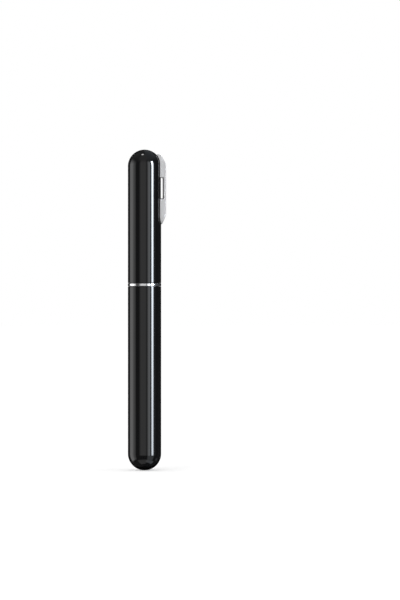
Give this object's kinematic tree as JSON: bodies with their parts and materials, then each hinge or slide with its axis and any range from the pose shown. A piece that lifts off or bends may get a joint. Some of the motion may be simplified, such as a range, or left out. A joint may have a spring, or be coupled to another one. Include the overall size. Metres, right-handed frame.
{
  "type": "air pump wine opener",
  "caption": "Pen-shaped hand pump that lifts a cork with air: hollow needle under a domed cap with a side clip, sliding handle over a barrel, check valve in the seat.",
  "frame": {"origin": "centre of the small flat on the pump handle's domed end", "axes": "+Z along the pump's axis from the handle to the cap, +X towards the side clip, -Y towards the viewer of the picture"},
  "size_m": [0.0249, 0.022, 0.2121],
  "materials": {
    "gloss_black": "polished black casing plastic",
    "clip_grey": "light grey matt plastic",
    "satin_black": "satin black plastic",
    "nylon": "natural nylon",
    "chrome": "polished plating",
    "steel": "ground stainless steel",
    "aluminium": "drawn tube",
    "brass": "turned brass",
    "rubber": "black rubber"
  },
  "bodies": {
    "needle_seat": {"needle_seat": "satin_black", "accent_ring": "chrome", "cap_o_ring": "rubber", "barrel": "aluminium", "barrel_o_ring": "rubber", "barrel_gland": "nylon", "stroke_bumper": "rubber", "valve_seat": "brass", "hub_washer": "rubber", "needle_hub": "brass", "clamp_nut": "brass", "needle": "steel"},
    "valve": {"valve_ball": "steel", "valve_spring": "steel"},
    "pump_handle": {"handle_shell": "gloss_black", "handle_bush": "nylon", "rod_anchor": "brass", "piston_rod": "steel", "piston": "nylon", "piston_cup": "rubber", "piston_washer": "steel", "piston_screw": "steel"},
    "cap": {"cap_shell": "gloss_black", "clip_root": "clip_grey"},
    "clip_arm": {"clip_arm": "clip_grey"}
  },
  "joints": [
    {"name": "pump_stroke", "type": "slide", "parent": "needle_seat", "child": "pump_handle", "axis": [0, 0, -1], "range_m": [0, 0.07]},
    {"name": "cap_pull", "type": "slide", "parent": "needle_seat", "child": "cap", "axis": [0, 0, 1], "range_m": [0, 0.095]},
    {"name": "clip_flex", "type": "hinge", "parent": "cap", "child": "clip_arm", "pos_m": [0.01315, 0, 0.19275], "axis": [0, -1, 0], "range_deg": [0, 4], "stiffness_Nm_per_rad": 0.6},
    {"name": "valve_lift", "type": "slide", "parent": "needle_seat", "child": "valve", "axis": [0, 0, 1], "range_m": [0, 0.0008], "stiffness_N_per_m": 60, "springref_m": -0.001, "deforming": ["valve_spring"]}
  ]
}
